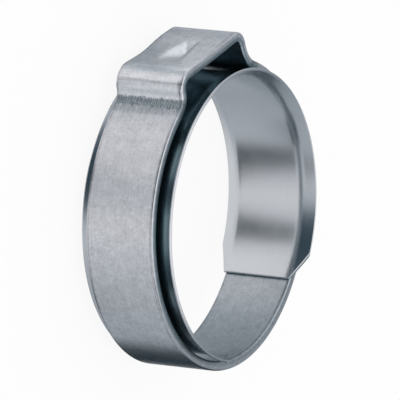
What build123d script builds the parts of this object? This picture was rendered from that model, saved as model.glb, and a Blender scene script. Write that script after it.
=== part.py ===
from build123d import *

import math
import os

# One-ear pinch clamp for a hose, lying flat, millimetres.
# The hose would lie along Z, the ear points to +Y, and the origin is on the axis of the insert ring's bore,
# halfway along it. Two loose pieces: a seamless steel band with one pressed ear, and a thin open ring that
# lines it and bridges the gap under the ear.

# ---- Driving dimensions -------------------------------------------------------------------------------------

# Outer band: strip width and thickness, and the circle that the strip is rolled to.
band_width = 7.0
band_thickness = 0.9
band_inner_radius = 13.62
band_edge_round = 0.2

# Ear: two legs that lean together a little, round shoulders and a roof that sags between them.
ear_width = 12.6  # outside the legs, where they leave the ring
ear_leg_lean = 7.5  # degrees from upright
ear_height = 1.55  # from the ring's outer circle to the roof's middle
ear_roof_sag = 0.1  # how far the roof dips between its two corners
ear_shoulder_radius = 1.7
ear_neck_radius = 2.0

# Dimple: a canoe-shaped dent along the roof, pressed through so that it stands out below.
dimple_shoulder_gap = 1.1  # from the end of each shoulder's round to the dimple
dimple_width = 2.5
dimple_depth = 0.8
dimple_end_width = 0.9  # the canoe's blunt ends
dimple_keel_length = 3.0
dimple_keel_width = 0.2
dimple_rim_round = 0.2
dimple_shift = -0.3  # along the roof, from the ear's middle

# Insert ring: thin strip with both edges flared over the band, and a gap on the side away from the ear.
insert_play = 0.47  # radial room between the two rings when they are centred
insert_thickness = 0.3
insert_flange_reach = 1.2  # how far each flange stands past the band, along the ring axis
insert_flange_flare = 27.0  # degrees from the ring axis
insert_bend_radius = 0.45
insert_gap_angle = 54.6  # degrees between the two ends of the strip
insert_gap_direction = -75.3  # degrees from +X to the middle of that gap
insert_chamfer_length = 2.85  # cut along each flange at the strip's ends

# Seat: the insert springs against the band's inside at one place, and stands off it elsewhere.
seat_clearance = 0.02
seat_direction = -15.3  # degrees from +X

# ---- Derived sizes ------------------------------------------------------------------------------------------

half_width = band_width / 2
band_outer_radius = band_inner_radius + band_thickness

roof_middle = band_outer_radius + ear_height
corner_height = roof_middle + ear_roof_sag
foot = Vector(ear_width / 2, math.sqrt(band_outer_radius**2 - (ear_width / 2) ** 2))
roof_corner = Vector(foot.X - (corner_height - foot.Y) * math.tan(math.radians(ear_leg_lean)), corner_height)
dimple_length = 2 * (roof_corner.X - ear_shoulder_radius - dimple_shoulder_gap)
keel_height = roof_middle - dimple_depth

insert_outer_radius = band_inner_radius - insert_play
insert_middle_radius = insert_outer_radius - insert_thickness / 2
flange_rise = insert_flange_reach * math.tan(math.radians(insert_flange_flare))

band_offset = insert_play - seat_clearance
band_centre = Vector(-band_offset, 0).rotate(Axis.Z, seat_direction)
gap_ends = (
    insert_gap_direction + insert_gap_angle / 2,
    insert_gap_direction - insert_gap_angle / 2,
)

os.makedirs("parts", exist_ok=True)


def radial(angle):
    """The direction that points out from the ring's axis at this angle from +X."""
    return Vector(1, 0).rotate(Axis.Z, angle)


def dimple_section(height, drop):
    """The dimple's canoe-shaped outline at this height, lowered by drop; it widens evenly from keel to rim."""
    share = (height - keel_height) / dimple_depth
    length = dimple_keel_length + (dimple_length - dimple_keel_length) * share
    width = dimple_keel_width + (dimple_width - dimple_keel_width) * share
    end_width = width * dimple_end_width / dimple_width
    middle = band_centre + Vector(dimple_shift, height - drop)
    with BuildSketch(Plane(middle, x_dir=(1, 0, 0), z_dir=(0, -1, 0))) as section:
        with BuildLine():
            ThreePointArc((-length / 2, end_width / 2), (0, width / 2), (length / 2, end_width / 2))
            Line((length / 2, end_width / 2), (length / 2, -end_width / 2))
            ThreePointArc((length / 2, -end_width / 2), (0, -width / 2), (-length / 2, -end_width / 2))
            Line((-length / 2, -end_width / 2), (-length / 2, end_width / 2))
        make_face()
    return section.sketch


# ---- Outer band ---------------------------------------------------------------------------------------------

with BuildPart() as outer_band:
    # The strip's outer outline: the ring's circle with the ear's trapezium on it, its corners rounded.
    with BuildSketch(Plane(band_centre).offset(-half_width)) as strip:
        Circle(band_outer_radius)
        with BuildLine():
            leg = Line(foot, roof_corner)
            mirror(leg, about=Plane.YZ)
            ThreePointArc(roof_corner, (0, roof_middle), (-roof_corner.X, corner_height))
            Line(foot, (-foot.X, foot.Y))
        make_face()
        fillet(strip.vertices().group_by(Axis.Y)[-1], ear_shoulder_radius)
        fillet(strip.vertices().group_by(Axis.Y)[0], ear_neck_radius)
        # What is left inside one strip thickness is open, round the ring and under the ear alike.
        offset(amount=-band_thickness, mode=Mode.SUBTRACT)
    extrude(amount=band_width)
    fillet(outer_band.faces().filter_by(Axis.Z).edges(), band_edge_round)

    # The dimple: its underside stands out below the roof, one strip thickness under the dent itself.
    for drop, mode in ((band_thickness, Mode.ADD), (0, Mode.SUBTRACT)):
        loft(sections=[dimple_section(keel_height, drop), dimple_section(corner_height, drop)], mode=mode)
    rim_height = band_centre.Y + roof_middle - dimple_rim_round
    rim = outer_band.edges(Select.LAST).filter_by(lambda edge: edge.center().Y > rim_height)
    fillet(rim.filter_by(GeomType.BSPLINE), dimple_rim_round)

outer_band.part.label = "outer_band"
export_step(outer_band.part, "parts/outer_band.step")

# ---- Insert ring --------------------------------------------------------------------------------------------

with BuildPart() as insert_ring:
    # The strip's section stands at one end of the gap and is turned round the ring's own axis to the other end.
    with BuildSketch(Plane((0, 0, 0), x_dir=radial(gap_ends[0]), z_dir=radial(gap_ends[0] - 90))):
        with BuildLine():
            FilletPolyline(
                (insert_middle_radius + flange_rise, -half_width - insert_flange_reach),
                (insert_middle_radius, -half_width),
                (insert_middle_radius, half_width),
                (insert_middle_radius + flange_rise, half_width + insert_flange_reach),
                radius=insert_bend_radius,
            )
        trace(line_width=insert_thickness)
    revolve(axis=Axis.Z, revolution_arc=360 - insert_gap_angle)

    # Each flange is cut back to the bend at both ends of the strip.
    for end, into_strip in zip(gap_ends, (90, -90)):
        end_middle = radial(end) * insert_middle_radius
        with BuildSketch(Plane(end_middle, x_dir=radial(end + into_strip), z_dir=radial(end))):
            for side in (1, -1):
                with BuildLine():
                    Polyline(
                        (-insert_chamfer_length, side * (half_width - insert_flange_reach)),
                        (2 * insert_chamfer_length, side * (half_width + 2 * insert_flange_reach)),
                        (-insert_chamfer_length, side * (half_width + 2 * insert_flange_reach)),
                        close=True,
                    )
                make_face()
        extrude(amount=2 * flange_rise, both=True, mode=Mode.SUBTRACT)

insert_ring.part.label = "insert_ring"
export_step(insert_ring.part, "parts/insert_ring.step")
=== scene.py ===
# %% [markdown]
# # Dressing a one-ear hose clamp
#
# A one-ear clamp holds a hose on its spigot. A seamless steel band with one pressed ear goes round the hose,
# and pincers close the ear to tighten it. A thin open ring lines the band, so that the rubber meets a smooth
# round surface and isn't pinched under the ear. The two pieces are loose in each other.
#
# The CAD model already gives the sizes and the place of both. This script builds each piece once more as a
# fine mesh of the same form, because the pressed dimple, the soft edges and the worked steel need more
# points than a CAD solid shows, and then it gives them their steel, a camera and a studio.

# %% Load the CAD frame
import math

import bpy
import numpy as np
from mathutils import Matrix, Vector


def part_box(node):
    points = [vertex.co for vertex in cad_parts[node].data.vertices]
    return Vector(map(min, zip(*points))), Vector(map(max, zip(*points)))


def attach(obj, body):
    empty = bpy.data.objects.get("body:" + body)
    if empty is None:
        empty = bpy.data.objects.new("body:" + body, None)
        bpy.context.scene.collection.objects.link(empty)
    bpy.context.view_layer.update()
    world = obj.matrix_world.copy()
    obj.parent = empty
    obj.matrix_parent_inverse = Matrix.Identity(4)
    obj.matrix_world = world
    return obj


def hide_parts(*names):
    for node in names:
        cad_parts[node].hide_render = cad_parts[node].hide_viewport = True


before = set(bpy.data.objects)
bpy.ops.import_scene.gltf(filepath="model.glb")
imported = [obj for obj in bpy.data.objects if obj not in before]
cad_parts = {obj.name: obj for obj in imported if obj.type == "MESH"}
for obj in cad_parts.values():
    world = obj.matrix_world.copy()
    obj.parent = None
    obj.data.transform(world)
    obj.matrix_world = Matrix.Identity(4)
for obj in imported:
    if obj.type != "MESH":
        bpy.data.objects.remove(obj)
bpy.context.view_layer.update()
print("CAD nodes:", sorted(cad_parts))

# %% [markdown]
# ## Read the band's size from the frame
#
# Blender works in metres here, and a clamp is easier to think about in millimetres. So the shapes are worked
# out in millimetres, from the CAD boxes where they can be, and turned into metres when a mesh is made. The
# band's box is as wide as its outer circle, which gives its radius and centre. The ear only adds to its top.

# %% Sizes of the band, from its box
MM = 0.001

band_low, band_high = (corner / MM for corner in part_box("outer_band"))
band_radius = (band_high.x - band_low.x) / 2
band_centre = np.array([(band_high.x + band_low.x) / 2, band_low.y + band_radius])
band_half_width = band_high.z
band_thickness = 0.9
band_edge_round = 0.2
print("band: outer radius", round(band_radius, 2), "centre", band_centre.round(3))

# %% [markdown]
# ## Two helpers: put a thing in the scene, and sweep a section along a strip
#
# Both pieces are strips of steel. A curve with a bevel could make a strip too, but the dimple and the slanted
# ends need each point where we want it. So a closed loop of points, the strip's section, is repeated along
# the strip, and neighbouring loops are joined by four-sided faces. The helper takes all the loops as one
# block of numbers. A UV map keeps how far along and across the strip each point is, in millimetres, so that
# the steel's grain can run along the strip. A second value on each point says which side of the strip faces
# the other piece, because the materials paint shade on that side.

# %% Put a thing in the scene
def put_in_scene(name, data):
    """A new object that holds this mesh or camera, linked into the scene."""
    thing = bpy.data.objects.new(name, data)
    bpy.context.scene.collection.objects.link(thing)
    return thing


# %% Sweep helper
closing_step = 0.4  # mm along the strip, from the last loop of a closed strip on to its first


def end_faces(stations, points):
    """Faces that close both ends of an open strip, each straight across from its outer to its inner side."""
    first = [[k, points - 1 - k, points - 2 - k, k + 1] for k in range(points // 2 - 1)]
    last_loop = (stations - 1) * points
    last = [[corner + last_loop for corner in reversed(face)] for face in first]
    return first, last


def strip_mesh(name, loops, along, across, hidden, closed):
    """A piece through a block of section loops (stations, points, xyz in mm), with its UV map named strip.

    Along and across are the places of the stations and of a section's points on the flat strip, and hidden is
    true for the points on the side that faces the other piece.
    """
    stations, points = loops.shape[:2]
    i, j = np.meshgrid(np.arange(stations if closed else stations - 1), np.arange(points), indexing="ij")
    i_next, j_next = (i + 1) % stations, (j + 1) % points
    quads = [i * points + j, i * points + j_next, i_next * points + j_next, i_next * points + j]
    faces = np.stack(quads, -1).reshape(-1, 4).tolist()
    here, onward = along[i], np.where(i_next == 0, along[-1] + closing_step, along[i_next])
    corners = [(here, across[j]), (here, across[j_next]), (onward, across[j_next]), (onward, across[j])]
    uv = np.stack([np.stack(corner, -1) for corner in corners], 2).reshape(-1, 2)
    if not closed:
        for ends, place in zip(end_faces(stations, points), (along[0], along[-1])):
            faces += ends
            uv = np.vstack([uv, np.full((4 * len(ends), 2), place)])
    mesh = bpy.data.meshes.new(name)
    mesh.from_pydata((loops.reshape(-1, 3) * MM).tolist(), [], faces)
    mesh.uv_layers.new(name="strip").data.foreach_set("uv", uv.astype(np.float32).ravel())
    side = mesh.attributes.new("hidden_side", "FLOAT", "POINT")
    side.data.foreach_set("value", np.tile(hidden, stations).astype(np.float32))
    mesh.shade_smooth()
    mesh.validate()
    print(name, "faces:", len(mesh.polygons))
    return put_in_scene(name, mesh)


# %% [markdown]
# ## The band's outline
#
# Seen along the hose, the band is a circle with an ear on it: a hollow neck, a leg that leans in, a round
# shoulder, and a roof that is nearly flat. Each of these is an arc or a line that meets the next without a
# corner, just as the press tool rolls it. A curve drawn by hand would look much the same, but arcs with known
# centres stay true when a size changes. The outline is walked in short steps, and each step keeps its outward
# direction, which the strip's thickness is measured against.

# %% Where the ear's arcs have their centres
ear_foot_x = 6.3
ear_lean = math.radians(7.5)
ear_height = 1.55  # from the band's outer circle to the roof's middle
ear_roof_sag = 0.1
ear_shoulder_radius = 1.7
ear_neck_radius = 2.0

ear_roof_middle = band_radius + ear_height
ear_foot = np.array([ear_foot_x, math.sqrt(band_radius**2 - ear_foot_x**2)])
leg_out = np.array([math.cos(ear_lean), math.sin(ear_lean)])
leg_up = np.array([-math.sin(ear_lean), math.cos(ear_lean)])
ear_corner_x = ear_foot_x - (ear_roof_middle + ear_roof_sag - ear_foot[1]) * math.tan(ear_lean)
roof_radius = (ear_corner_x**2 + ear_roof_sag**2) / (2 * ear_roof_sag)
roof_centre = np.array([0.0, ear_roof_middle + roof_radius])

neck_line = ear_foot @ leg_out + ear_neck_radius
neck_rise = math.sqrt((band_radius + ear_neck_radius) ** 2 - neck_line**2)
neck_centre = leg_out * neck_line + leg_up * neck_rise

shoulder_line = ear_foot @ leg_out - ear_shoulder_radius
from_roof_centre = leg_out * shoulder_line - roof_centre
reach = from_roof_centre @ leg_up
shoulder_rise = -reach - math.sqrt(
    reach**2 - from_roof_centre @ from_roof_centre + (roof_radius + ear_shoulder_radius) ** 2
)
shoulder_centre = leg_out * shoulder_line + leg_up * shoulder_rise
print("neck centre", neck_centre.round(3), "shoulder centre", shoulder_centre.round(3))

# %% Walk one half of the outline
ring_step, ear_step = 0.45, 0.12  # between neighbouring points


def arc_steps(centre, radius, start, end, step, hollow=False):
    """Points and outward directions along an arc; a hollow arc's outward side is towards its centre."""
    count = max(4, int(abs(end - start) * radius / step))
    angle = np.linspace(start, end, count, endpoint=False)
    direction = np.stack([np.cos(angle), np.sin(angle)], -1)
    return centre + radius * direction, -direction if hollow else direction


def leg_steps():
    """Points and outward directions up the straight part of the leg."""
    start = neck_centre - leg_out * ear_neck_radius
    end = shoulder_centre + leg_out * ear_shoulder_radius
    count = max(3, int(np.linalg.norm(end - start) / ear_step))
    shares = np.linspace(0, 1, count, endpoint=False)[:, None]
    return start + shares * (end - start), np.repeat(leg_out[None], count, 0)


def half_outline():
    """The right half of the outline, from the lowest point of the ring to the middle of the roof."""
    neck_on_ring = math.atan2(neck_centre[1], neck_centre[0])
    to_shoulder = shoulder_centre - roof_centre
    roof_end = math.atan2(to_shoulder[1], to_shoulder[0])
    neck_ends = (neck_on_ring + math.pi, math.pi + ear_lean)
    parts = [
        arc_steps(np.zeros(2), band_radius, -math.pi / 2, neck_on_ring, ring_step),
        arc_steps(neck_centre, ear_neck_radius, *neck_ends, ear_step, hollow=True),
        leg_steps(),
        arc_steps(shoulder_centre, ear_shoulder_radius, ear_lean, roof_end + math.pi, ear_step),
        arc_steps(roof_centre, roof_radius, roof_end, -math.pi / 2, ear_step, hollow=True),
    ]
    return np.vstack([points for points, _ in parts]), np.vstack([out for _, out in parts])


# %% Mirror it into the whole outline
right_points, right_out = half_outline()
roof_point, roof_out = np.array([[0.0, ear_roof_middle]]), np.array([[0.0, 1.0]])
mirror_x = np.array([-1.0, 1.0])
outline = np.vstack([right_points, roof_point, (right_points * mirror_x)[:0:-1]])
outline_out = np.vstack([right_out, roof_out, (right_out * mirror_x)[:0:-1]])
outline_along = np.concatenate([[0], np.cumsum(np.linalg.norm(np.diff(outline, axis=0), axis=1))])
print("outline steps:", len(outline), "length", round(outline_along[-1], 1), "mm")

# %% [markdown]
# ## The band's section
#
# Across the strip the section is a thin rectangle with rolled edges. A bevel modifier could round them, but
# it would add points of its own among those that carry the dimple, so the round is part of the section. The
# long sides get many points, closer together in the middle, because the dimple has to bend them there.

# %% Section of the strip
def rounded_section(half_width, thickness, edge_round, across_outer):
    """A closed loop of (across, depth) points, from the outer face round the edge to the inner face."""
    quarter = np.linspace(0, math.pi / 2, 6)[1:-1]
    flat_half = half_width - edge_round
    outer = [(z, 0.0) for z in across_outer]
    corner = [(flat_half + edge_round * math.sin(a), edge_round * (1 - math.cos(a))) for a in quarter]
    side = [(half_width, depth) for depth in np.linspace(edge_round, thickness - edge_round, 4)]
    half_loop = outer + corner + side + [(z, thickness - depth) for z, depth in corner[::-1]]
    return np.array(half_loop + [(-z, thickness - depth) for z, depth in half_loop])


fine_end, coarse_start = 1.84, 2.05  # across the strip, from its middle
fine = np.linspace(-fine_end, fine_end, 47)
coarse = np.linspace(coarse_start, band_half_width - band_edge_round, 7)
across_face = np.concatenate([-coarse[::-1], fine, coarse])
band_section = rounded_section(band_half_width, band_thickness, band_edge_round, across_face)
print("section points:", len(band_section))

# %% [markdown]
# ## The dimple
#
# The press leaves a canoe-shaped dent along the roof. It stiffens the ear, so that it folds evenly when the
# pincers close it. It could be cut with a second mesh or sculpted by hand, but then it is hard to change.
# Four flat slopes say it more simply: one falls from each end and one from each side. The shallowest of the
# four is the depth at a point, and rounding that choice rounds the creases between them. The tool sits a
# little askew, so the far side is wide and soft and the near side short and steep.

# %% Rounded steps and creases
def smooth_step(value, start, end):
    """0 before start, 1 after end, and an even S between them."""
    t = np.clip((value - start) / (end - start), 0, 1)
    return t * t * (3 - 2 * t)


def soft_lower(a, b, softness):
    """The smaller of two depths, with the crease between them rounded."""
    return 0.5 * (a + b - np.sqrt((a - b) ** 2 + softness**2))


def soft_higher(a, b, softness):
    """The larger of two depths, with the crease between them rounded."""
    return 0.5 * (a + b + np.sqrt((a - b) ** 2 + softness**2))


# %% Dimple
dimple_right_end, dimple_right_fall = 2.05, -0.262  # where it starts along the ear, and its depth per mm
dimple_left_end, dimple_left_fall = -3.4, 0.30
dimple_far_slope = (0.488, -0.1655, 0.491)  # depth at the ear's middle, and its growth along and across
dimple_near_slope = (0.92, -0.096, -0.80)
dimple_crease_round = 0.03
dimple_rim_round = 0.08
dimple_far_round = 0.34  # the far slope has no edge: it rises out of the roof
dimple_far_lift = 0.03  # and that rounding deepens it a little, which this takes back
dimple_left_round = 0.75  # the left end melts into the far slope without a crease
dimple_keel_round = 0.30  # the keel's crease opens by this much towards the left end
dimple_keel_open = (0.5, -2.5)  # from here to there along the ear
dimple_side_reach, dimple_side_fade = 3.2, 1.2  # no dent is left this far from the strip's middle


def slope_depth(slope, x, z):
    """Depth of one flat slope at these points."""
    at_middle, along_growth, across_growth = slope
    return at_middle + along_growth * x + across_growth * z


def dimple_depth(x, z):
    """How far the dimple lowers the roof at these points, x along the ear and z across it."""
    far = soft_higher(slope_depth(dimple_far_slope, x, z), 0.0, dimple_far_round) - dimple_far_lift
    bowl = soft_lower((x - dimple_left_end) * dimple_left_fall, far, dimple_left_round)
    bowl = soft_lower(bowl, (x - dimple_right_end) * dimple_right_fall, dimple_crease_round)
    opened, wide_open = dimple_keel_open
    keel_round = dimple_keel_round * np.clip((opened - x) / (opened - wide_open), 0, 1)
    bowl = soft_lower(bowl, slope_depth(dimple_near_slope, x, z), dimple_crease_round + keel_round)
    return soft_higher(bowl, 0.0, dimple_rim_round) * smooth_step(
        dimple_side_reach - np.abs(z), 0.0, dimple_side_fade
    )


places_along = np.linspace(dimple_left_end, dimple_right_end, 40)[:, None]
print("dimple: deepest", round(float(dimple_depth(places_along, across_face[None, :]).max()), 2), "mm")

# %% [markdown]
# ## A crooked ear
#
# No press closes both legs alike. On the real clamp the ear leans a third of a millimetre to one side, and
# that shoulder is lower. The roof's back edge isn't straight either: it sags beside the dimple and swells at
# both ends. New arcs could say this, but moving the finished points a little is easier to read.

# %% Lean of the ear
ear_lean_sideways = -0.30
ear_lean_heights = (12.9, 14.9)  # the lean grows from none to all of it between these heights
ear_tilt = 0.25
ear_tilt_heights = (13.5, 15.3)
ear_tilt_over = 4.5  # the tilt lifts a point this far from the ear's middle by all of ear_tilt
ear_tilt_limit = 1.3  # and no point by more than this many times as much


def lean_ear(x, y):
    """The points of the ear, moved sideways and tilted; the ring below them stays where it is."""
    sideways = ear_lean_sideways * smooth_step(y, *ear_lean_heights)
    tilt = np.clip(x / ear_tilt_over, -ear_tilt_limit, ear_tilt_limit)
    return x + sideways, y + smooth_step(y, *ear_tilt_heights) * tilt * ear_tilt


leaned_outline = np.stack(lean_ear(outline[:, 0], outline[:, 1]), -1)
print("leaning ear: top at", round(float(leaned_outline[:, 1].max()), 2), "mm above the band's centre")

# %% Wave of the roof's back edge
back_edge_swell = 0.08
back_edge_top = -4.4  # along the ear
back_edge_wave_length = 6.8
back_edge_fade = (0.6, 3.2)  # it grows from none to all of it between these places across the strip


def back_edge_wave(x, z):
    """How far the back edge of the roof is lifted at these points."""
    wave = back_edge_swell * np.cos(2 * math.pi * (x - back_edge_top) / back_edge_wave_length)
    return wave * smooth_step(-z, *back_edge_fade)


# %% Build the band
roof_reach_down = 0.5  # what lies less than this below the roof's middle is the roof
roof_half_length, roof_fade = 5.2, 0.8  # the dent and the wave die away over the shoulders


def build_band():
    """The band as one closed mesh, its two faces both pressed down by the dimple."""
    across, depth = band_section[:, 0], band_section[:, 1]
    flat = outline[:, None, :] - outline_out[:, None, :] * depth[None, :, None]
    x = np.repeat(outline[:, 0:1], len(across), 1)
    z = np.repeat(across[None, :], len(outline), 0)
    near_roof = outline[:, 1:2] > ear_roof_middle - roof_reach_down
    on_roof = near_roof * smooth_step(roof_half_length - np.abs(x), 0.0, roof_fade)
    dent = (dimple_depth(x, z) - back_edge_wave(x, z)) * on_roof
    leaned_x, leaned_y = lean_ear(flat[..., 0], flat[..., 1])
    loops = np.stack([leaned_x + band_centre[0], leaned_y + band_centre[1] - dent, z], -1)
    return strip_mesh("band", loops, outline_along, across, depth > band_thickness / 2, closed=True)


band = build_band()
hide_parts("outer_band")
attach(band, "root")

# %% [markdown]
# ## The insert ring
#
# The insert is a strip of thin spring steel. Its edges flare out over the band, so that it can't slip off,
# and a gap lets it close with the hose. At the gap the flanges are cut back slantwise, which keeps the
# corners away from the rubber. A full ring with the gap cut out of it would leave ragged faces at the cut. So
# the section, a wide shallow channel, is swept from one end to the other, and the slanted cut is made by
# letting each point of it start later on its way round the further out it is on the flange.

# %% Middle line of the insert's section
insert_middle_radius = 13.0
insert_half_width = band_half_width
insert_flare = math.radians(27.0)
insert_flange_reach = 1.2
insert_bend_radius = 2.0


def insert_middle_line():
    """Points (across, radius) and outward directions down the middle of the strip's section."""
    bend_start = insert_half_width - insert_bend_radius * math.tan(insert_flare / 2)
    bend_centre = np.array([bend_start, insert_middle_radius + insert_bend_radius])
    angles = np.linspace(0, insert_flare, 9)
    bend_out = np.array([(-math.sin(a), math.cos(a)) for a in angles])
    bend = bend_centre - insert_bend_radius * bend_out
    rise = insert_flange_reach * math.tan(insert_flare)
    rim = np.array([insert_half_width + insert_flange_reach, insert_middle_radius + rise])
    flange = [bend[-1] + share * (rim - bend[-1]) for share in np.linspace(0, 1, 7)[1:]]
    flat = [(z, insert_middle_radius) for z in np.linspace(0, bend_start, 13)[:-1]]
    right = np.vstack([flat, bend, flange])
    out = np.vstack([[(0, 1)] * len(flat), bend_out, np.repeat(bend_out[-1:], len(flange), 0)])
    mirrored = np.array([-1, 1])
    return np.vstack([(right * mirrored)[:0:-1], right]), np.vstack([(out * mirrored)[:0:-1], out])


insert_line, insert_out = insert_middle_line()
print("insert: its middle line flares to a radius of", round(float(insert_line[-1, 1]), 2), "mm")

# %% Section of the insert
insert_thickness = 0.3
insert_edge_round = 0.08


def rounded_edge(end, out, onward, half, edge):
    """The strip's edge beyond one end of its middle line, from its outer side and from its inner side."""
    quarter = np.linspace(0, math.pi / 2, 5)[1:]
    outer = [end + out * (half - edge * (1 - math.cos(a))) + onward * edge * math.sin(a) for a in quarter]
    inner = [end - out * (half - edge * (1 - math.cos(a))) + onward * edge * math.sin(a) for a in quarter]
    return outer, inner


def insert_section(inset):
    """The strip's section as a closed loop, drawn in by inset all round; its edges are a little rounded."""
    half = insert_thickness / 2 - inset
    edge = min(insert_edge_round, half)
    line = insert_line.copy()
    edges = []
    for end, inward in ((0, 1), (-1, -2)):
        onward = insert_line[end] - insert_line[inward]
        onward = onward / np.linalg.norm(onward)
        line[end] -= onward * (edge + inset)
        edges.append(rounded_edge(line[end], insert_out[end], onward, half, edge))
    (first_outer, first_inner), (last_outer, last_inner) = edges
    outer = [*first_outer[::-1], *(line + insert_out * half), *last_outer]
    inner = [*last_inner[::-1], *(line - insert_out * half)[::-1], *first_inner]
    return np.array(outer + inner)


print("section points:", len(insert_section(0.0)))

# %% Where the insert gets painted shade on the side that faces the band
insert_unshaded_rim = 0.12  # the near rim is kept out of the painted shade for this far
insert_back_flange = 0.1 - insert_half_width  # and the back flange's outside, beyond here, is kept out of it too


def insert_hidden_side(across):
    """True for the section's points that face the band and get painted shade."""
    outer_side = np.arange(len(across)) < len(across) / 2
    rim = insert_half_width + insert_flange_reach - insert_unshaded_rim
    return outer_side & (across > insert_back_flange) & (across < rim)


# %% Build the insert
insert_gap_ends = (-48.0, -106.5)  # degrees from +X; the strip goes the long way round between them
insert_cut_lengths = (2.85, 1.95)  # along the flanges, at each of those ends
insert_end_round = 0.08
insert_stations = 520


def insert_stops():
    """Where the sections stand: share of the way round, distance back from the end, and how far drawn in."""
    turn = np.linspace(0, math.pi / 2, 4)
    insets = insert_end_round * (1 - np.sin(turn))
    setbacks = insert_end_round * (1 - np.cos(turn))
    first = [(0.0, setback, inset) for setback, inset in zip(setbacks, insets)]
    last = [(1.0, setback, inset) for _, setback, inset in reversed(first)]
    between = [(share, insert_end_round, 0.0) for share in np.linspace(0, 1, insert_stations)[1:-1]]
    return first + between + last


def build_insert():
    """The insert as one closed mesh, with slanted ends on its flanges and softly rounded end edges."""
    first, last = math.radians(insert_gap_ends[0]), math.radians(insert_gap_ends[1]) + 2 * math.pi
    loops, along = [], []
    for share, setback, inset in insert_stops():
        section = insert_section(inset)
        across, radius = section[:, 0], section[:, 1]
        flange_share = np.clip(np.abs(across) - insert_half_width, 0, None) / insert_flange_reach
        first_cut, last_cut = [(flange_share * length + setback) / radius for length in insert_cut_lengths]
        angle = (first + first_cut) * (1 - share) + (last - last_cut) * share
        loops.append(np.stack([radius * np.cos(angle), radius * np.sin(angle), across], -1))
        along.append(insert_middle_radius * (first * (1 - share) + last * share))
    across = insert_section(0.0)[:, 0]
    hidden = insert_hidden_side(across)
    return strip_mesh("insert", np.array(loops), np.array(along), across, hidden, closed=False)


insert = build_insert()
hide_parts("insert_ring")
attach(insert, "root")

# %% [markdown]
# ## Steel
#
# Both pieces are stainless steel. The band was tumbled after pressing, which leaves a satin grey with a fine
# grain. A scanned picture of steel could be laid on it, but it would blur close up and show a seam. So the
# grain is noise made by nodes. First come short ways to add a node, because a worked steel has many of them.

# %% Node helpers
def node_maker(block):
    """A clean node tree, and a short way to add a node with its settings and inputs."""
    block.use_nodes = True
    tree = block.node_tree
    tree.nodes.clear()

    def add(kind, settings=None, **inputs):
        node = tree.nodes.new("ShaderNode" + kind)
        for key, value in (settings or {}).items():
            setattr(node, key, value)
        for key, value in inputs.items():
            place = int(key[1:]) if key[0] == "i" and key[1:].isdigit() else key.replace("_", " ")
            socket = node.inputs[place]
            if isinstance(value, bpy.types.NodeSocket):
                tree.links.new(value, socket)
            else:
                socket.default_value = value
        return node

    return add


# %% Sums on sockets
def maths(add, operation, first, second=0.0):
    """One sum on two values or sockets."""
    return add("Math", {"operation": operation}, i0=first, i1=second).outputs[0]


def add_up(add, start, *parts):
    """Start plus each socket times its share."""
    total = start
    for socket, share in parts:
        total = maths(add, "ADD", total, maths(add, "MULTIPLY", socket, share))
    return total


def blend(add, amount, low, high):
    """Low where amount is 0, high where it is 1."""
    return add("Mix", {"data_type": "FLOAT"}, i0=amount, i2=low, i3=high).outputs[0]


def blend_colours(add, amount, low, high):
    """The first colour where amount is 0, the second where it is 1."""
    return add("Mix", {"data_type": "RGBA"}, i0=amount, i6=low, i7=high).outputs[2]


def remap(add, value, start, end, low=0.0, high=1.0, kind="LINEAR"):
    """Low up to start, high from end on, and a slope between them."""
    ends = {"i1": start, "i2": end, "i3": low, "i4": high}
    return add("MapRange", {"interpolation_type": kind}, i0=value, **ends).outputs[0]


def window(add, value, start, end, soft):
    """1 between start and end, fading to 0 over soft on both sides."""
    rise = remap(add, value, start - soft, start, kind="SMOOTHSTEP")
    fall = remap(add, value, end, end + soft, 1.0, 0.0, kind="SMOOTHSTEP")
    return maths(add, "MULTIPLY", rise, fall)


# %% Places and noise on the strip
def strip_places(add):
    """Distances along and across the strip, in mm."""
    places = add("SeparateXYZ", Vector=add("UVMap", {"uv_map": "strip"}).outputs["UV"])
    return places.outputs["X"], places.outputs["Y"]


def stretched(add, along, across, along_scale, across_scale):
    """A place on the strip where noise comes out drawn into strokes."""
    x, y = maths(add, "MULTIPLY", along, along_scale), maths(add, "MULTIPLY", across, across_scale)
    return add("CombineXYZ", X=x, Y=y).outputs[0]


def solid_place(add):
    """The place in space, in mm, for noise that has no direction."""
    place = add("TexCoord").outputs["Object"]
    return add("VectorMath", {"operation": "SCALE"}, Vector=place, Scale=1 / MM).outputs[0]


def grain(add, place, scale, detail=3.0, roughness=0.55):
    """Noise around 0, from about -0.5 to 0.5."""
    noise = add("TexNoise", Vector=place, Scale=scale, Detail=detail, Roughness=roughness)
    return maths(add, "SUBTRACT", noise.outputs[0], 0.5)


# %% Metal at the end of both materials
def steel_surface(add, colour, rough, height, bump_strength, bump_depth):
    """Bare metal of this colour and roughness, with the height as fine bumps up to bump_depth mm."""
    bump = add("Bump", Strength=bump_strength, Distance=bump_depth * MM, Height=height).outputs[0]
    shader = add("BsdfPrincipled", Metallic=1.0, Roughness=rough, Base_Color=colour, Normal=bump)
    add("OutputMaterial", Surface=shader.outputs["BSDF"])


# %% [markdown]
# ## Press marks on the band
#
# The press marked the band: a row of dark drag strokes where the neck slid over the die, and long thin
# streaks across the strip where it was bent round the shoulder. They could be painted, but each of them lies
# at its own place along the strip, so the material asks the UV map how far along the strip it is. The two
# halves of the ear are alike, and so most of the marks are placed by the distance from the roof's middle.

# %% Where the press marks lie along the band
strip_middle = float(outline_along[-1]) / 2


def from_roof_to(x, y):
    """The way along the strip from the roof's middle to the point of the outline nearest to (x, y)."""
    nearest = np.argmin(np.hypot(*(leaned_outline - (x, y)).T))
    return abs(float(outline_along[nearest]) - strip_middle)


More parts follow.
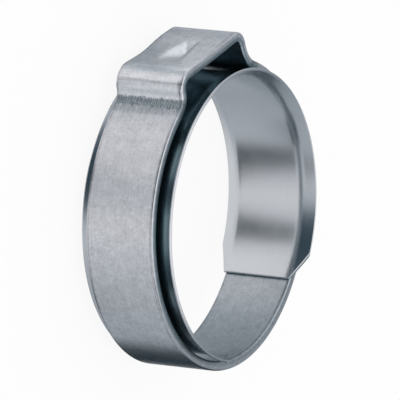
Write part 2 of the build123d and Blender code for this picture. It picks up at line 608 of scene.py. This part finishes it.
shoulder_start, shoulder_end = from_roof_to(-4.3, 16.1), from_roof_to(-6.2, 15.1)
leg_line = from_roof_to(-6.22, 15.02)
neck_start, neck_end = from_roof_to(-6.40, 13.55), from_roof_to(-7.30, 12.25)
print("drag marks from", round(neck_start, 2), "to", round(neck_end, 2), "mm from the roof's middle")

# %% Drag marks on the necks
def drag_marks(add, along, across, solid, from_roof):
    """Fine dark strokes along the strip, dense at the upper end of the neck and thinning out below."""
    ragged = add_up(add, from_roof, (grain(add, solid, 3.0, 3.0, 0.7), 1.1))
    stroke = grain(add, stretched(add, along, across, 1.5, 8.0), 1.0, 2.0, 0.7)
    stroke = remap(add, stroke, -0.10, 0.12, 1.0, 0.0)
    dense = window(add, ragged, neck_start + 0.10, neck_start + 0.85, 0.14)
    dense = maths(add, "MULTIPLY", dense, blend(add, stroke, 0.55, 1.0))
    fading = remap(add, ragged, neck_start + 0.8, neck_end + 0.1, 1.0, 0.25)
    fringe = window(add, ragged, neck_start + 0.10, neck_end - 0.05, 0.25)
    fringe = maths(add, "MULTIPLY", maths(add, "MULTIPLY", fringe, fading), blend(add, stroke, 0.18, 1.0))
    speck = remap(add, grain(add, solid, 9.0, 2.0, 0.8), 0.04, 0.20)
    marks = maths(add, "MAXIMUM", dense, fringe)
    return maths(add, "MULTIPLY", marks, blend(add, speck, 1.0, 0.2))


# %% Marks of the bend over the shoulder
def bend_marks(add, along, across, from_roof):
    """Streaks across the strip, the rubbed steel round them, and one dark line under the shoulder."""
    bend = window(add, from_roof, shoulder_start, shoulder_end, 0.4)
    streak = grain(add, stretched(add, along, across, 4.5, 0.28), 1.0, 3.0, 0.65)
    rubbed = window(add, from_roof, shoulder_start, neck_start, 0.3)
    skewed = add_up(add, from_roof, (across, -0.015))
    line = window(add, skewed, leg_line - 0.04, leg_line + 0.06, 0.20)
    return maths(add, "MULTIPLY", streak, bend), rubbed, line


# %% Dark lines and painted facet shade along the edges
edge_line_insets = (0.27, 0.22)  # the line lies between these distances from the strip's edge
facet_top_width, facet_foot_width = 0.55, 0.26


def edge_line(add, across, solid):
    """A thin dark line just inside both edges of the strip, broken up by noise."""
    from_middle = maths(add, "ABSOLUTE", across)
    line = window(add, from_middle, *(band_half_width - inset for inset in edge_line_insets), 0.06)
    broken = remap(add, grain(add, solid, 1.1, 3.0, 0.6), -0.22, 0.10, 0.15, 1.0)
    return maths(add, "MULTIPLY", line, broken)


def painted_facet_shade(add, along, across):
    """Painted shade of a narrow facet that the press left on the front edge of one leg, narrower towards its
    foot.
    """
    top, foot = strip_middle + from_roof_to(-6.1, 15.3), strip_middle + from_roof_to(-6.5, 13.2)
    on_leg = window(add, along, top + 0.25, foot - 0.4, 0.45)
    width = remap(add, along, top, foot, facet_top_width, facet_foot_width)
    facet_edge = maths(add, "SUBTRACT", band_half_width, width)
    inside = remap(add, maths(add, "SUBTRACT", across, facet_edge), -0.08, 0.10)
    outside = remap(add, across, band_half_width - 0.2, band_half_width - 0.1, 1.0, 0.0)
    return maths(add, "MULTIPLY", on_leg, maths(add, "MULTIPLY", inside, outside))


# %% Colour of the band
band_colour = (0.585, 0.615, 0.645, 1)
band_shade_colour = (0.50, 0.64, 0.71, 1)
drag_colour = (0.10, 0.16, 0.19, 1)


def band_colours(add, tone, from_roof, marks):
    """The steel's colour times its tone, with painted shade on the inside and the drag marks in it."""
    # Painted shade: the inside of the band is darker and colder, most of all under the ear.
    hidden = add("Attribute", {"attribute_name": "hidden_side"}).outputs["Fac"]
    off_ear = remap(add, from_roof, neck_end - 0.6, neck_end)
    tone = maths(add, "MULTIPLY", tone, blend(add, hidden, 1.0, blend(add, off_ear, 0.55, 0.76)))
    cold = maths(add, "MULTIPLY", hidden, blend(add, off_ear, 0.825, 0.30))
    plain = blend_colours(add, cold, band_colour, band_shade_colour)
    steel = add("VectorMath", {"operation": "SCALE"}, i0=plain, Scale=tone).outputs[0]
    return blend_colours(add, maths(add, "MULTIPLY", marks, 0.85), steel, drag_colour)


# %% Band steel
def band_steel():
    """Tumbled stainless steel with the press marks at both necks and shoulders."""
    material = bpy.data.materials.new("band_steel")
    add = node_maker(material)
    along, across = strip_places(add)
    solid = solid_place(add)
    from_roof = maths(add, "ABSOLUTE", maths(add, "SUBTRACT", along, strip_middle))
    fine = grain(add, solid, 3.4, 4.0, 0.8)
    cloudy = grain(add, solid, 1.2, 3.0)
    brush = grain(add, stretched(add, along, across, 0.25, 5.0), 1.3, 3.0, 0.6)
    marks = drag_marks(add, along, across, solid, from_roof)
    streak, rubbed, line = bend_marks(add, along, across, from_roof)
    edge = edge_line(add, across, solid)
    facet_shade = painted_facet_shade(add, along, across)

    tone = add_up(add, 1.0, (fine, 0.90), (cloudy, 0.40), (brush, 0.30), (streak, 0.60), (rubbed, 0.17))
    # The facet's darkening is painted shade.
    tone = add_up(add, tone, (line, -0.24), (edge, -0.35), (facet_shade, -0.40))
    colour = band_colours(add, tone, from_roof, marks)
    rough = add_up(add, 0.33, (fine, 0.20), (marks, 0.2))
    height = add_up(add, 0.0, (fine, 0.8), (brush, 0.3), (marks, -0.8), (streak, 0.8))
    steel_surface(add, colour, rough, height, bump_strength=0.28, bump_depth=0.04)
    print("band steel nodes:", len(material.node_tree.nodes))
    return material


band.data.materials.append(band_steel())

# %% [markdown]
# ## Insert steel
#
# The insert comes from rolled spring strip, which is much brighter. A perfect mirror would be the quick way,
# but real strip isn't one. Its grain runs along the strip, and a few soft clouds keep the bands of light in
# it from looking drawn with a ruler.

# %% Insert steel
insert_colour = (0.60, 0.64, 0.67, 1)
insert_shade_colour = (0.46, 0.64, 0.71, 1)


def insert_steel():
    """Bright rolled strip with a faint grain along it, and painted shade on the side that faces the band."""
    material = bpy.data.materials.new("insert_steel")
    add = node_maker(material)
    along, across = strip_places(add)
    solid = solid_place(add)
    fine = grain(add, solid, 3.0, 3.0, 0.6)
    cloudy = grain(add, solid, 0.45, 2.0)
    brush = grain(add, stretched(add, along, across, 0.25, 5.0), 1.6, 3.0, 0.6)

    hidden = add("Attribute", {"attribute_name": "hidden_side"}).outputs["Fac"]
    tone = add_up(add, 1.0, (fine, 0.05), (brush, 0.08), (cloudy, 0.06))
    # Painted shade: darker and colder where the insert faces the band.
    tone = maths(add, "MULTIPLY", tone, blend(add, hidden, 1.0, 0.68))
    plain = blend_colours(add, hidden, insert_colour, insert_shade_colour)
    colour = add("VectorMath", {"operation": "SCALE"}, i0=plain, Scale=tone).outputs[0]
    rough = add_up(add, 0.245, (cloudy, 0.06))
    height = add_up(add, cloudy, (brush, 0.5))
    steel_surface(add, colour, rough, height, bump_strength=0.12, bump_depth=0.03)
    print("insert steel nodes:", len(material.node_tree.nodes))
    return material


insert.data.materials.append(insert_steel())

# %% [markdown]
# ## Floor
#
# The clamp lies on its side on a pale table. A white table under a bright lamp would do, but the lamp would
# bleach the clamp too. So part of the table's white is a glow that only direct looks see, and the rest is
# matt, which keeps the clamp's soft shadow.

# %% Floor
floor_radius = 1500.0
floor_corners = 96
floor_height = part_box("insert_ring")[0].z / MM
floor_glow_share = 0.90


def floor_white():
    """Matt white, which glows where it is seen directly."""
    material = bpy.data.materials.new("floor_white")
    add = node_maker(material)
    path = add("LightPath").outputs
    seen = maths(add, "MAXIMUM", path["Is Camera Ray"], path["Is Glossy Ray"])
    seen = maths(add, "MAXIMUM", seen, path["Is Transmission Ray"])
    share = maths(add, "MULTIPLY", seen, floor_glow_share)
    matt = add("BsdfDiffuse", Color=(0.9, 0.9, 0.9, 1)).outputs[0]
    glow = add("Emission", Color=(1, 1, 1, 1), Strength=1.0).outputs[0]
    add("OutputMaterial", Surface=add("MixShader", i0=share, i1=matt, i2=glow).outputs[0])
    return material


def build_floor():
    """A wide white disc under the clamp. The clamp mirrors the dome's lower zones instead of it."""
    angles = np.linspace(0, 2 * math.pi, floor_corners, endpoint=False)
    ring = [(floor_radius * math.cos(a), floor_radius * math.sin(a), floor_height) for a in angles]
    mesh = bpy.data.meshes.new("floor")
    mesh.from_pydata((np.array(ring) * MM).tolist(), [], [list(range(floor_corners))])
    mesh.materials.append(floor_white())
    floor = put_in_scene("floor", mesh)
    floor.visible_glossy = False
    print("floor at", round(floor_height, 2), "mm")


build_floor()

# %% [markdown]
# ## Studio dome
#
# Bare steel has hardly any colour of its own: it shows what stands round it. Lamps and sheets could stand
# there, but a world pattern is easier to tune: two rings of zones, a low one and a high one, each zone with
# its direction in degrees round the hose's axis and its tone. Only the metal's mirrors see them. The camera
# and the matt floor see plain white.

# %% Zones of the dome
low_zones = (
    (0, 0.60), (22, 0.39), (37, 0.46), (52, 0.50), (66, 0.60), (78, 0.72), (91, 0.94), (108, 0.98),
    (122, 1.00), (134, 0.90), (147, 0.68), (161, 0.88), (178, 0.98), (190, 0.86), (203, 0.72), (217, 0.66),
    (231, 0.62), (245, 0.56), (259, 0.50), (274, 0.46), (290, 0.46), (308, 0.46), (322, 0.60), (334, 0.95),
    (348, 0.75),
)
high_zones = (
    (0, 0.30), (22, 0.60), (42, 0.62), (62, 0.62), (80, 0.64), (92, 0.66), (102, 0.16), (124, 0.03),
    (152, 0.03), (162, 0.10), (172, 0.58), (186, 0.76), (211, 0.56), (229, 0.52), (250, 0.47), (280, 0.36),
    (315, 0.28),
)
dome_top, dome_bottom = 1.15, 0.92
low_to_high, sides_to_top, bottom_to_sides = (-0.28, 0.12), (0.62, 0.88), (-0.97, -0.72)  # heights, -1 to 1


def dome_tone(value):
    """The colour of a dome zone: white when bright, and towards a cold blue-green when it is darker."""
    cold = max(0.0, (0.5 + 2.0 * value) * (1 - value))
    return (value * 1.01, value * 0.97 + 0.055 * cold, value * 0.975 + 0.095 * cold, 1)


print("dome zones:", len(low_zones), "low and", len(high_zones), "high")

# %% Dome
def zone_ramp(add, turn, zones):
    """The tone of a ring of zones at this turn, which runs from 0 to 1 once round."""
    ramp = add("ValToRGB", Fac=turn)
    stops = sorted(((angle if angle < 180 else angle - 360) / 360 + 0.5, tone) for angle, tone in zones)
    join = (stops[0][1] + stops[-1][1]) / 2
    elements = ramp.color_ramp.elements
    while len(elements) > 1:
        elements.remove(elements[-1])
    elements[0].position = 0.0
    elements[0].color = dome_tone(join)
    for place, tone in [*stops, (1.0, join)]:
        elements.new(place).color = dome_tone(tone)
    return ramp.outputs["Color"]


def build_dome():
    """A world that is plain white for the floor, and soft bright and dark zones for the metal."""
    world = bpy.data.worlds.new("studio_dome")
    bpy.context.scene.world = world
    add = node_maker(world)
    direction = add("SeparateXYZ", Vector=add("TexCoord").outputs["Generated"]).outputs
    turn = remap(add, maths(add, "ARCTAN2", direction["Y"], direction["X"]), -math.pi, math.pi)

    def blend_by_height(lower, upper, heights):
        amount = remap(add, direction["Z"], *heights, kind="SMOOTHSTEP")
        return blend_colours(add, amount, lower, upper)

    sides = blend_by_height(zone_ramp(add, turn, low_zones), zone_ramp(add, turn, high_zones), low_to_high)
    with_top = blend_by_height(sides, dome_tone(dome_top), sides_to_top)
    dome = blend_by_height(dome_tone(dome_bottom), with_top, bottom_to_sides)
    path = add("LightPath").outputs
    plain = maths(add, "MAXIMUM", path["Is Camera Ray"], path["Is Diffuse Ray"])
    seen = blend_colours(add, plain, dome, (1, 1, 1, 1))
    add("OutputWorld", Surface=add("Background", Color=seen, Strength=1.0).outputs[0])
    print("dome nodes:", len(world.node_tree.nodes))


build_dome()

# %% [markdown]
# ## Cards
#
# The dome is far away, so both sides of the clamp mirror the same of it. Cards stand close to the clamp,
# where only one side of it can mirror them. Three dark ones draw the dark bands across the polished bore,
# one darkens the band's turn to its underside, and one the hollow of the ear. A bright one and a softer one
# make the dimple flash. The camera doesn't see them, and they cast no shade on the table.

# %% Where the cards stand
dark_glow, soft_glow, bright_glow = (0.02, 0.035, 0.045), (0.70, 0.70, 0.72), (1.45, 1.45, 1.48)


def card_corners(turn, height, distance, width, length, upright=False):
    """Corners of a card: a level one points away from the bore, an upright one faces it."""
    angle = math.radians(turn)
    away = np.array([math.cos(angle), math.sin(angle), 0])
    side = np.array([-math.sin(angle), math.cos(angle), 0])
    middle = away * distance + np.array([0, 0, height])
    half_length = (np.array([0, 0, 1]) if upright else away) * length / 2
    half_width = side * width / 2
    return [middle + half_length * u + half_width * v for u, v in ((-1, -1), (1, -1), (1, 1), (-1, 1))]


# Each card's corners and glow; the last three stand where the ear and the dimple mirror them.
cards = {
    "card_low_left": (card_corners(143.5, -19.5, 22.0, 8.5, 26.0), dark_glow),
    "card_low_near": (card_corners(222, -19.5, 22.0, 11.0, 26.0), dark_glow),
    "card_high_near": (card_corners(211, 17.5, 27.0, 10.0, 16.0), dark_glow),
    "card_below_band": (card_corners(255, -2.0, 19.0, 12.0, 19.0, upright=True), dark_glow),
    "card_behind_ear": ([(-6, 12.4, -6.5), (13, 12.4, -6.5), (13, 16.4, -6.5), (-6, 16.4, -6.5)], dark_glow),
    "card_at_dimple": ([(12, 25.2, -7), (8, 30, -7), (4.5, 30, 3), (8.5, 25.2, 3)], bright_glow),
    "card_round_dimple": ([(13.8, 23.4, -10), (8.3, 32, -10), (4.8, 32, 3), (10.2, 23.4, 2)], soft_glow),
}
print("cards:", len(cards))

# %% Build the cards
def build_card(name, corners, glow):
    """One card that only mirrors of metal see."""
    mesh = bpy.data.meshes.new(name)
    mesh.from_pydata((np.array(corners) * MM).tolist(), [], [(0, 1, 2, 3)])
    material = bpy.data.materials.new(name)
    add = node_maker(material)
    add("OutputMaterial", Surface=add("Emission", Color=(*glow, 1), Strength=1.0).outputs[0])
    mesh.materials.append(material)
    card = put_in_scene(name, mesh)
    card.visible_camera = False
    card.visible_diffuse = False
    card.visible_shadow = False


for name, (corners, glow) in cards.items():
    build_card(name, corners, glow)

# %% [markdown]
# ## Camera
#
# A wide lens close by would swell the near side of the rings. A long lens from far away keeps their ellipses
# honest. The camera's place is given as a turn and a lift round the clamp, which are easier to change than
# three coordinates, and a small step aside sets the clamp in the frame.

# %% Camera
camera_turn, camera_lift, camera_roll = 59.80, 11.92, -1.10  # degrees, from a look straight down the hose
camera_ear_turn = -9.3  # degrees that all of it is then turned round the hose
camera_distance, camera_aside, camera_above = 713.8, 0.152, 1.071
camera_lens, camera_sensor_width = 693.1, 36.0
camera_clip = (0.05, 20.0)  # metres


def camera_directions():
    """The picture's right and up, and the way back from the clamp to the camera."""
    turn, lift, roll = (math.radians(angle) for angle in (camera_turn, camera_lift, camera_roll))
    back = Vector((-math.sin(turn) * math.cos(lift), math.sin(lift), math.cos(turn) * math.cos(lift)))
    right = Vector((0, 1, 0)).cross(back).normalized()
    up = back.cross(right)
    rolled_right = right * math.cos(roll) + up * math.sin(roll)
    rolled_up = up * math.cos(roll) - right * math.sin(roll)
    spin = Matrix.Rotation(math.radians(camera_ear_turn), 3, "Z")
    return spin @ rolled_right, spin @ rolled_up, spin @ back


def build_camera():
    """The camera, aimed a hair beside the ring's centre and rolled so that the ear points up."""
    right, up, back = camera_directions()
    centre = Vector((*band_centre, 0))
    place = (centre + back * camera_distance + right * camera_aside + up * camera_above) * MM
    data = bpy.data.cameras.new("camera")
    data.lens = camera_lens
    data.sensor_width = camera_sensor_width
    data.clip_start, data.clip_end = camera_clip
    camera = put_in_scene("camera", data)
    camera.matrix_world = Matrix.Translation(place) @ Matrix((right, up, back)).transposed().to_4x4()
    bpy.context.scene.camera = camera
    print("camera at", [round(value, 3) for value in place], "m")


build_camera()
bpy.context.scene.view_settings.view_transform = "Standard"
